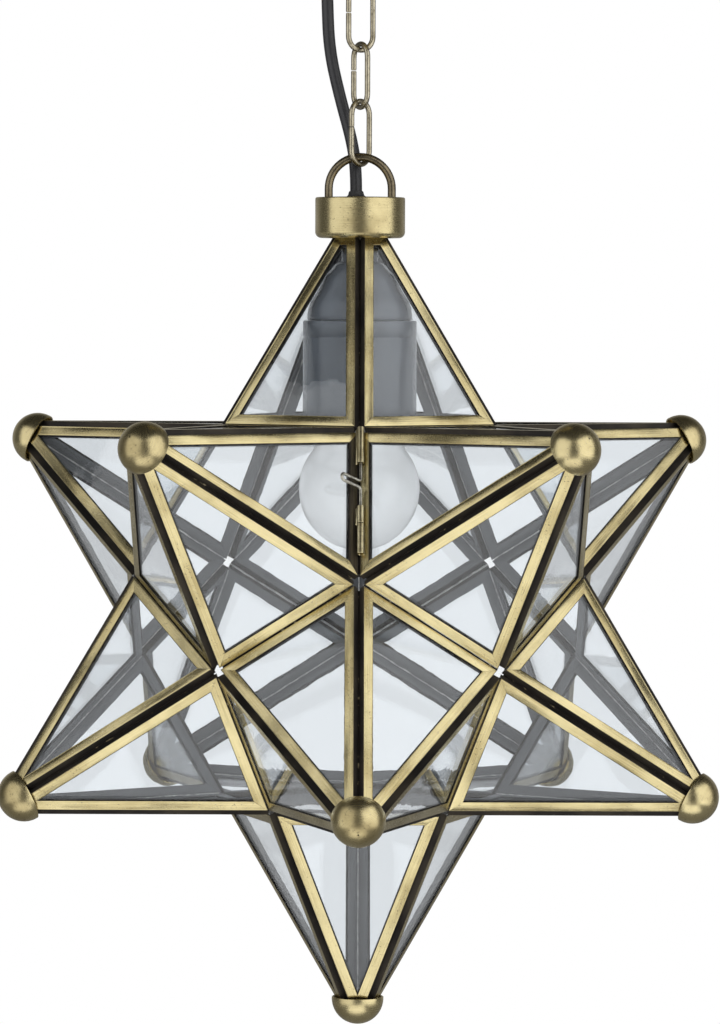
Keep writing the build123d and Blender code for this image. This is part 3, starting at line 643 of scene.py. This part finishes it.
def strip_uv(ends, shift):
    n = len(CAME_SECTION)
    uv, run = [], 0.0
    for j in range(n):
        i = (j + 1) % n
        on = run + (Vector(CAME_SECTION[i][:2]) - Vector(CAME_SECTION[j][:2])).length
        (start, end), (next_start, next_end) = ends[j], ends[i]
        uv += [(start + shift, run), (end + shift, run), (next_end + shift, on), (next_start + shift, on)]
        run = on
    return uv + [(shift, 0.2 * j) for j in range(n)] * 2


def came_frames(point):
    """The five came frames of a point, each of mitred strips of one folded section."""
    rings = [pane_corners(margin, axial_cut(point)) for margin, *_ in CAME_SECTION]
    meets_in_tip = (Vector(rings[0][2]) - Vector(rings[0][3])).length < 0.5
    sides = [0, 1, 3] if meets_in_tip else [0, 1, 2, 3]
    first_roll = 3 * list(POINTS).index(point)
    strips, outer, inner = [], [], []
    for plane in pane_planes(POINTS[point]):
        for side in sides:
            roll = FULL_ROLL * ROLLS[(first_roll + len(strips)) % len(ROLLS)]
            vertices, faces, ends = came_strip(plane, rings, side, roll)
            # Painted shade: the valley strips beside the latch keep less polish, so they are drawn darker.
            latch_shade_share = latch_painted_shade(point, plane[4]) if side == 0 else 1.0
            outer += [polish * latch_shade_share for _, _, polish, _ in CAME_SECTION for _ in range(2)]
            inner += [shaded_slate for *_, shaded_slate in CAME_SECTION for _ in range(2)]
            strips.append((vertices, faces, strip_uv(ends, STRIP_SHIFT * len(strips))))
    new_piece(
        f"came_frames_{point}", joined(strips), "came_brass", body_of(point), [f"cames_{point}"],
        {"outer": outer, "inner": inner}, smooth=25,
    )


RIDGE_SOLDER, VALLEY_SOLDER = 0.34, 0.30
SOLDER_DEPTH = CAME_DEPTH - 0.12
SOLDER_SIDES = 8
VALLEY_END = 2.2


def seam(start, end, radius, inward):
    """A thin run of solder between two points, and which of its points are on the inside."""
    steps = 9
    path = [start + (end - start) * (k / steps) for k in range(steps + 1)]
    radii = [radius * (0.9 + 0.2 * ((7 * k) % 5) / 4) for k in range(steps + 1)]
    shape = bar(path, radii, sides=SOLDER_SIDES)
    inside = [float((v - path[k // SOLDER_SIDES]).dot(inward) > 0.05 * radius) for k, v in enumerate(shape[0])]
    return shape, inside


def ridge_seams(point):
    """Solder along the inside of each groove between two panes of a point."""
    planes = pane_planes(POINTS[point])
    foot, top = pane_corners(0, axial_cut(point))[1:3]
    runs = []
    for k, (origin, along, up, outward, _) in enumerate(planes):
        origin2, along2, up2, outward2, _ = planes[(k + 1) % 5]
        start, end = [
            (origin + along * x + up * y - outward * SOLDER_DEPTH
             + origin2 - along2 * x + up2 * y - outward2 * SOLDER_DEPTH) / 2
            for x, y in (foot, top)
        ]
        run = end - start
        inward = -(outward + outward2).normalized()
        runs.append(seam(start + run * 0.012, end - run * 0.01, RIDGE_SOLDER, inward))
    return runs


def valley_seams():
    """Solder in each valley between two points. The door's own valleys have none."""
    runs, done = [], set()
    for point, direction in POINTS.items():
        for origin, along, _, _, facing in pane_planes(direction):
            key = tuple(round(x, 2) for x in origin)
            if key in done or point == DOOR or same(facing, POINTS[DOOR]):
                continue
            done.add(key)
            into = (origin - STAR).normalized()
            middle, half = origin - into * VALLEY_SOLDER, along * (EDGE / 2 - VALLEY_END)
            runs.append(seam(middle - half, middle + half, VALLEY_SOLDER, -into))
    return runs


def make_seams():
    """Solder on the inside of the frames. The door has its own."""
    fixed = [run for point in POINTS if point != DOOR for run in ridge_seams(point)] + valley_seams()
    for name, runs, body in (
        ("solder_seams", fixed, "lantern"),
        ("solder_seams_door", ridge_seams(DOOR), "door"),
    ):
        shape = joined([run for run, _ in runs])
        inner = [value for _, inside in runs for value in inside]
        new_piece(name, shape, "solder", body, layers={"inner": inner}, smooth=60)


REBATE_ENDS = 3.2  # short of the valley's ends
REBATE_DEPTHS = (0.6, 2.9)


def make_rebate_shade_strips():
    """Dark strips on the frame side of the doorway, painted shade for the gap round the door. The hinge's valley
    stays open for the door's swing.
    """
    shapes = []
    outer, inner = REBATE_DEPTHS
    stations = [-EDGE / 2 + REBATE_ENDS, -8.0, 8.0, EDGE / 2 - REBATE_ENDS]
    for facing in ("top", "lower_left", "lower_front", LATCHED):
        origin, along, up, outward, _ = pane_towards(facing, DOOR)
        _, _, door_up, door_outward, _ = pane_towards(DOOR, facing)
        section = [up * 0.25 - outward * depth for depth in (outer, inner)]
        section += [door_up * -0.08 - door_outward * depth for depth in (inner, outer)]
        vertices = [origin + along * x + corner for x in stations for corner in section]
        faces, uv = [(0, 1, 2, 3), (15, 14, 13, 12)], [(0.0, 0.0)] * 8
        for k in range(3):
            here, there = stations[k:k + 2]
            for j in range(4):
                a, b = 4 * k + j, 4 * k + (j + 1) % 4
                faces.append((a, a + 4, b + 4, b))
                uv += [(here, j), (there, j), (there, j + 1), (here, j + 1)]
        shapes.append((vertices, faces, uv))
    shape = joined(shapes)
    # The strips are all blackened solder: painted shade in the door's gaps.
    new_piece("doorway_rebate_shade", shape, "solder", "lantern", layers={"inner": [0.0] * len(shape[0])}, smooth=30)


CAP_BORE = 8.8


def cap_profile():
    """A spun dome with a small rolled rim, from its rim over the top and back down the inside."""
    rim = [(CAP_BORE, -0.3), (CAP_BORE + 0.06, -0.52), (9.0, -0.6)]
    rim += [(9.3, -0.6), (9.47, -0.5), (CAP_RADIUS, -0.3)]
    dome = arc_points((0, 0), CAP_RADIUS, 0, 88, 22)
    inside = arc_points((0, 0), CAP_BORE, 88, 30, 8)
    return rim + dome + inside


def ball_cap(point):
    direction = POINTS[point]
    return lathed(cap_profile(), STAR + direction * CAP_SEAT, direction, 56, closed=True)


def make_ball_caps():
    rows = {
        "upper": [name for name in UPPER_RING if name != DOOR],
        "lower": LOWER_RING,
    }
    for row, names in rows.items():
        shape = joined([ball_cap(name) for name in names])
        new_piece(f"dome_caps_{row}", shape, "spun_brass", "lantern", [f"ball_caps_{row}"])
    for name in ("bottom", DOOR):
        new_piece(f"dome_cap_{name}", ball_cap(name), "spun_brass", body_of(name), [f"ball_cap_{name}"])


for name in POINTS:
    came_frames(name)
make_seams()
make_rebate_shade_strips()
make_ball_caps()


# ---- hinge and latch of the door ----
TUBE_RADIUS, TUBE_BORE, TUBE_GAP = 1.25, 0.78, 0.3
AXIS_HEIGHT = TUBE_RADIUS + 0.28
HINGE_TUBE, HINGE_TUBES = 8.0, 5
PIN_HEAD = 0.6
LATCH_SIDE = 1.5
LATCH_WIRE = 0.55
LATCH_BEND = 1.1
LATCH_LEAN = 47  # degrees, of the wire's finger hold from between the panes towards the door


def downhill(plane):
    return plane[1] if plane[1].z < 0 else -plane[1]


def line_beside(valley, from_valley, foot, down):
    """A line beside a valley: where it starts, which way its feet point, and its own direction."""
    origin, _, up, outward, _ = valley
    return origin + up * from_valley + outward * AXIS_HEIGHT - down * (EDGE / 2), -foot[3], down


def reach_to(line, plane):
    return (line[0] - plane[0]).dot(plane[3])


def solder_foot(line, start, length, foot_reach):
    """A fillet of solder that spreads from under a tube onto the came's face."""
    place, foot, down = line
    side = down.cross(foot)
    stations = [0.02, 0.3, 0.5 * length, length - 0.3, length - 0.02]
    last = len(stations) - 1
    vertices, faces, uv = [], [], []
    for k, along in enumerate(stations):
        spread = 0.55 if k in (0, last) else 1.0
        base = place + down * (start + along)
        waist = 0.5 * (foot_reach + 0.9)
        for reach, half in ((0.55, 0.85), (waist, 0.5), (foot_reach - 0.25, 0.62), (foot_reach, spread)):
            vertices += [base + foot * reach + side * half * sign for sign in (-0.95, 0.95)]
    loop = [0, 2, 4, 6, 7, 5, 3, 1]
    for k in range(last):
        here, there = stations[k:k + 2]
        for j in range(8):
            a, b = 8 * k + loop[j], 8 * k + loop[(j + 1) % 8]
            faces.append((a, b, b + 8, a + 8))
            uv += [(here, j * 0.5), (here, j * 0.5 + 0.5), (there, j * 0.5 + 0.5), (there, j * 0.5)]
    faces += [tuple(reversed(loop)), tuple(8 * last + j for j in loop)]
    return vertices, faces, uv + [(0.1 * j, 0.0) for j in range(16)]


def short_tube(line, start, length, foot_reach):
    """A tube with rounded rims, soldered down."""
    place, _, down = line
    rims = [(TUBE_BORE, 0.1), (TUBE_BORE + 0.08, 0.0), (TUBE_RADIUS - 0.12, 0.0), (TUBE_RADIUS, 0.12)]
    section = rims + [(r, length - z) for r, z in reversed(rims)]
    tube = lathed(section, place + down * start, down, 28, closed=True)
    return [tube, solder_foot(line, start, length, foot_reach)]


def make_hinge():
    wall_side = pane_towards(HINGED, DOOR)
    door_side = pane_towards(DOOR, HINGED)
    down = downhill(wall_side)
    aside = AXIS_HEIGHT / tan(HALF_DIHEDRAL)
    length = HINGE_TUBES * HINGE_TUBE + (HINGE_TUBES - 1) * TUBE_GAP
    first = (EDGE - length) / 2
    for name, start, face, body in (("frame", 0, wall_side, "lantern"), ("door", 1, door_side, "door")):
        line = line_beside(wall_side, aside, face, down)
        parts = []
        for k in range(start, HINGE_TUBES, 2):
            parts += short_tube(line, first + k * (HINGE_TUBE + TUBE_GAP), HINGE_TUBE, reach_to(line, face))
        new_piece(f"hinge_knuckles_{name}", joined(parts), "tube_brass", body, [f"hinge_tubes_{name}"])
    place, _, _ = line_beside(wall_side, aside, wall_side, down)
    head = [(0.01, 0.0), (0.6, 0.05), (1.0, 0.2), (1.2, 0.45), (1.2, 0.55), (0.75, PIN_HEAD), (0.7, 0.7)]
    overall = length + 2 * (TUBE_GAP + PIN_HEAD)
    pin = head + [(r, overall - z) for r, z in reversed(head)]
    shape = lathed(pin, place + down * (first - TUBE_GAP - PIN_HEAD), down, 24)
    new_piece("hinge_rod", shape, "wire_brass", "lantern", ["hinge_pin"])


def rounded_path(corners, radius, steps=6):
    """A path whose corners are turned on arcs."""
    path = [Vector(corners[0])]
    for before, corner, after in zip(corners, corners[1:], corners[2:]):
        before, corner, after = Vector(before), Vector(corner), Vector(after)
        first, second = (before - corner).normalized(), (after - corner).normalized()
        half = first.angle(second) / 2
        centre = corner + (first + second).normalized() * (radius / sin(half))
        start, end = [corner + leg * (radius / tan(half)) - centre for leg in (first, second)]
        turn = start.rotation_difference(end)
        path += [centre + Quaternion().slerp(turn, k / steps) @ start for k in range(steps + 1)]
    return path + [Vector(corners[-1])]


def make_latch():
    wall = pane_towards(LATCHED, DOOR)
    door = pane_towards(DOOR, LATCHED)
    down = downhill(wall)
    guides = line_beside(wall, LATCH_SIDE, door, down)
    catch = line_beside(wall, LATCH_SIDE, wall, down)
    reach = reach_to(guides, door)
    for name, parts, body in (
        ("guides", short_tube(guides, 1.5, 14.5, reach) + short_tube(guides, 33.6, 6.9, reach), "door"),
        ("catch", short_tube(catch, 40.8, 12.0, AXIS_HEIGHT), "lantern"),
    ):
        new_piece(f"latch_{name}_tube", joined(parts), "tube_brass", body, [f"latch_{name}"])
    bisector = (wall[3] + door[3]).normalized()
    aside = (door[2] - bisector * door[2].dot(bisector)).normalized()
    out = bisector * cos(radians(LATCH_LEAN)) + aside * sin(radians(LATCH_LEAN))
    flat = [(2.5, 0), (23.5, 0), (23.5, 9.0), (26.1, 9.0), (26.1, 0), (40.2, 0)]
    path = rounded_path([guides[0] + down * x + out * y for x, y in flat], LATCH_BEND)
    new_piece("latch_bent_wire", bar(path, LATCH_WIRE), "latch_brass", "latch", ["latch_wire"])


make_hinge()
make_latch()


# ---- cup, bail and chain ----
def turned(name, profile, finish, body, node, turns, x=0, y=0, smooth=50):
    """A closed profile turned about an upright axis."""
    shape = lathed(profile, (x, y, 0), (0, 0, 1), turns, closed=True)
    new_piece(name, shape, finish, body, [node], smooth=smooth)


def make_cup():
    top, low = CUP_TOP, CUP_TOP - CUP_HEIGHT
    wall, bend = CUP_RADIUS - 0.8, 2.2
    corner = (CUP_RADIUS - bend, low + bend)
    rim = [(12.8, low + 0.8), (12.6, low + 0.4), (12.7, low + 0.08), (13.0, low), (corner[0], low)]
    side = arc_points(corner, bend, -90, 0, 10)[1:] + [(CUP_RADIUS, top - 6), (CUP_RADIUS, top - 0.75)]
    shoulder = [(16.32, top - 0.3), (16.1, top - 0.06), (15.85, top), (15.4, top - 0.03)]
    lid = [(9.0, top - 0.02), (0.01, top - 0.02), (0.01, top - 1.2), (15.4, top - 1.2)]
    inside = [(wall, top - 1.6), (wall, low + 2.4)] + arc_points(corner, bend - 0.8, 0, -90, 6)[1:]
    turned("cup_shell", rim + side + shoulder + lid + inside, "spun_brass", "lantern", "cup", 96)


def half_turn(radius, z, rise, steps):
    """A half circle of (x, z) points: over from the left with rise 1, under from the right with rise -1."""
    angles = [pi * k / steps for k in range(steps + 1)]
    return [(-radius * rise * cos(a), z + rise * radius * sin(a)) for a in angles]


def make_bail():
    leg = 11.5
    crown = CUP_TOP + BAIL_REACH - BAIL_WIRE
    left = [(-leg, CUP_TOP - 5.1), (-leg, CUP_TOP)]
    right = [(leg, z) for _, z in reversed(left)]
    path = [(x, 0, z) for x, z in left + half_turn(leg, crown - leg, 1, 28) + right]
    new_piece("bail_wire", bar(path, BAIL_WIRE, sides=24), "wire_brass", "lantern", ["bail"])


LINK_TURNS = [-75.0, 28.0, -60.0, 50.0]
LINK_STEP = LINK_LENGTH - 4 * LINK_WIRE - LINK_PLAY
FIRST_LINK_TOP = EYE_BAR + EYE_WIRE + LINK_WIRE + LINK_PLAY


def make_link(number, turn):
    """An oval of round wire, closed by a butt joint in the middle of one leg."""
    bend = 5.0
    top = FIRST_LINK_TOP - number * LINK_STEP
    upper, lower = top - bend, top - LINK_LENGTH + 2 * LINK_WIRE + bend
    joint = (upper + lower) / 2 + 2.0
    flat = [(-bend, joint + 0.12), (-bend, joint + 0.5), (-bend, (joint + upper) / 2), (-bend, upper - 0.6)]
    flat += half_turn(bend, upper, 1, 18)
    flat += [(bend, upper - 3), (bend, (upper + lower) / 2), (bend, lower + 3)]
    flat += half_turn(bend, lower, -1, 18)
    flat += [(-bend, (joint + lower) / 2), (-bend, joint - 0.5), (-bend, joint - 0.12)]
    a = radians(turn)
    path = [Vector((x * cos(a), x * sin(a), z)) for x, z in flat]
    cut = 0.86 * LINK_WIRE
    radii = [cut] + [LINK_WIRE] * (len(path) - 2) + [cut]
    shape = bar(path, radii, sides=18, start=90.0 * number)
    new_piece(f"link_{number + 1}", shape, "chain_brass", "lantern", [f"chain_link_{number + 1}"])


make_cup()
make_bail()
for number, turn in enumerate(LINK_TURNS):
    make_link(number, turn)


# ---- lampholder and lamp ----
def risen(level, profile):
    return [(r, level + z) for r, z in profile]


def make_holder():
    """The dome that screws onto the flex's nipple, and the barrel below it that takes the lamp."""
    mouth, split, neck = STAR_Z + 68.0, STAR_Z + 107.0, STAR_Z + 128.0
    dome = risen(split, [
        (17.1, 0.15), (18.5, 0.15), (18.7, 0.4), (18.7, 2.2), (18.3, 4.6), (17.4, 7.0), (15.9, 9.4),
        (14.6, 11.6), (13.3, 14.2), (12.2, 16.4),
    ]) + risen(neck, [
        (10.2, -2.6), (8.8, -0.7), (8.0, 0.0), (6.9, 0.3), (6.4, 0.9), (6.4, 5.6), (6.1, 6.0), (5.1, 6.0),
        (5.05, -1.6), (10.9, -6.6),
    ]) + risen(split, [(14.5, 6.4), (17.1, 1.6)])
    barrel = risen(mouth, [
        (18.1, 0.2), (18.3, 0.0), (19.4, 0.0), (19.7, 0.25), (20.2, 2.6), (HOLDER_RADIUS, 3.4),
    ]) + risen(split, [
        (HOLDER_RADIUS, -6.6), (20.0, -6.3), (20.0, -5.9), (HOLDER_RADIUS, -5.6), (HOLDER_RADIUS, -0.5),
        (20.15, -0.12), (19.8, 0.0), (14.0, 0.0), (14.0, -3.0), (18.7, -6.0),
    ]) + risen(mouth, [(18.5, 3.4)])
    turned("holder_dome", dome, "holder_black", "lantern", "lampholder_cap", 80)
    turned("holder_barrel", barrel, "holder_black", "lantern", "lampholder_barrel", 96)


def make_lamp():
    """A round bulb that draws in to its neck, with the glass's own wall."""
    middle = (0, STAR_Z + 45.5)
    wall, neck, neck_top = 0.9, 13.1, STAR_Z + 70.0
    outer = arc_points(middle, LAMP_RADIUS, -89.9, 40, 30)
    r0, z0 = outer[-1]
    throat = [(r0 + (neck - r0) * t, z0 + (neck_top - z0) * t ** 0.8) for t in (0.2, 0.4, 0.6, 0.8, 0.92, 1.0)]
    inner = [(r - wall, z) for r, z in throat]
    bowl = arc_points(middle, LAMP_RADIUS - wall, -89.9, 40, 24)
    profile = outer + throat + inner[::-1] + bowl[::-1]
    turned("lamp_bulb", profile, "lamp_glass", "lamp", "lamp_glass", 72, smooth=60)


def make_bush():
    """The low black grommet that the flex leaves the cup through."""
    section = risen(CUP_TOP, [
        (2.25, -1.1), (2.22, 2.2), (2.3, 2.45), (2.5, 2.4), (2.75, 1.9), (2.95, 1.0), (3.4, 0.55),
        (3.85, 0.3), (3.9, 0.0), (3.3, 0.0), (3.3, -1.1),
    ])
    turned("flex_grommet", section, "bush_black", "lantern", "cord_bush", 40, *FLEX_EXIT, smooth=40)


make_holder()
make_lamp()
make_bush()


# ---- carried-over nodes ----
KEPT = {
    "pane_glass": [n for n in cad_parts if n.startswith("glass_")],
    "spun_brass": ["canopy", "top_plate"],
    "wire_brass": ["bail_nuts", "ceiling_eye", "eye_nut"],
    "bush_black": ["cord_grip"],
    "insulator_white": ["contact_block", "terminal_block"],
    "contact_metal": ["centre_contact", "screw_shell", "lamp_contact", "lamp_screw_cap"],
    "plated_steel": ["ceiling_strap", "nipple", "nipple_nut"],
}
for finish, names in KEPT.items():
    for name in names:
        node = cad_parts[name]
        node.data.materials.clear()
        node.data.materials.append(FINISHES[finish])


# ---- floor, world and lamps ----
WHITE = (1, 1, 1, 1)
FLOOR_GREY = (0.8, 0.8, 0.8, 1)
FLOOR_RADIUS, FLOOR_LEVEL = 30.0, -6.0  # metres, low enough to look up at the lantern from below
FLOOR_IN_BRASS = 0.22
STAR_HEIGHT = -0.28  # metres, where the lamps aim


def seen_directly(m):
    """1 for what the camera or a pane shows, and 1 for what only the brass reflects."""
    camera = m.node("LightPath", out="Is Camera Ray")
    direct = camera.math("MAXIMUM", camera.beside("Is Transmission Ray"))
    return direct, (camera.beside("Is Glossy Ray") - direct).clamped()


def make_floor():
    mesh = bpy.data.meshes.new("floor")
    bm = bmesh.new()
    bmesh.ops.create_circle(bm, cap_ends=True, segments=96, radius=FLOOR_RADIUS)
    bm.to_mesh(mesh)
    bm.free()
    floor = bpy.data.objects.new("floor", mesh)
    floor.location.z = FLOOR_LEVEL
    bpy.context.scene.collection.objects.link(floor)
    m = Finish("pale_floor")
    direct, mirrored = seen_directly(m)
    diffuse = m.node("BsdfDiffuse", Color=FLOOR_GREY)
    white = m.node("Emission", Color=WHITE, Strength=direct + mirrored * FLOOR_IN_BRASS)
    mesh.materials.append(m.output(m.node("MixShader", i0=direct + mirrored, i1=diffuse, i2=white)))


def make_world():
    """White where it is seen, a dark studio with a paler back wall in the brass, one plain level for the rest."""
    world = bpy.data.worlds.new("studio")
    bpy.context.scene.world = world
    w = Finish("studio", world)
    _, mirrored = seen_directly(w)
    y = w.node("SeparateXYZ", out="Y", i0=w.node("TexCoord", out="Generated"))
    behind = w.between(y, 0.35, 0.95)
    above = w.between(y.beside("Z"), 0.2, 0.85)
    in_brass = (behind * 0.26 + 0.09) * (1 - above * 0.85)
    w.output(w.node("Background", Color=WHITE, Strength=1 - mirrored * (1 - in_brass)), "World")


def soft_lamp(name, azimuth, elevation, distance, width, height, radiance, reflected=True):
    """A softbox round the lantern. azimuth is in degrees from the camera's side, to the right."""
    aim = Vector((0, 0, STAR_HEIGHT))
    a, e = radians(azimuth), radians(elevation)
    place = aim + Vector((sin(a) * cos(e), -cos(a) * cos(e), sin(e))) * distance
    light = bpy.data.lights.new(name, "AREA")
    light.shape = "RECTANGLE"
    light.size = width
    light.size_y = height
    light.energy = radiance * pi * width * height
    lamp = bpy.data.objects.new(name, light)
    lamp.location = place
    lamp.rotation_euler = (aim - place).to_track_quat("-Z", "Y").to_euler()
    lamp.visible_glossy = reflected
    bpy.context.scene.collection.objects.link(lamp)


make_floor()
make_world()
soft_lamp("left_softbox", -51, 10, 2.2, 2.9, 3.2, 1.0)
soft_lamp("right_softbox", 54, 12, 2.2, 3.2, 3.4, 1.3)
soft_lamp("front_card", -6, -50, 2.0, 2.5, 1.4, 1.15)
soft_lamp("overhead", 200, 75, 2.4, 1.5, 1.5, 1.4, reflected=False)

bpy.context.scene.view_settings.view_transform = "Standard"
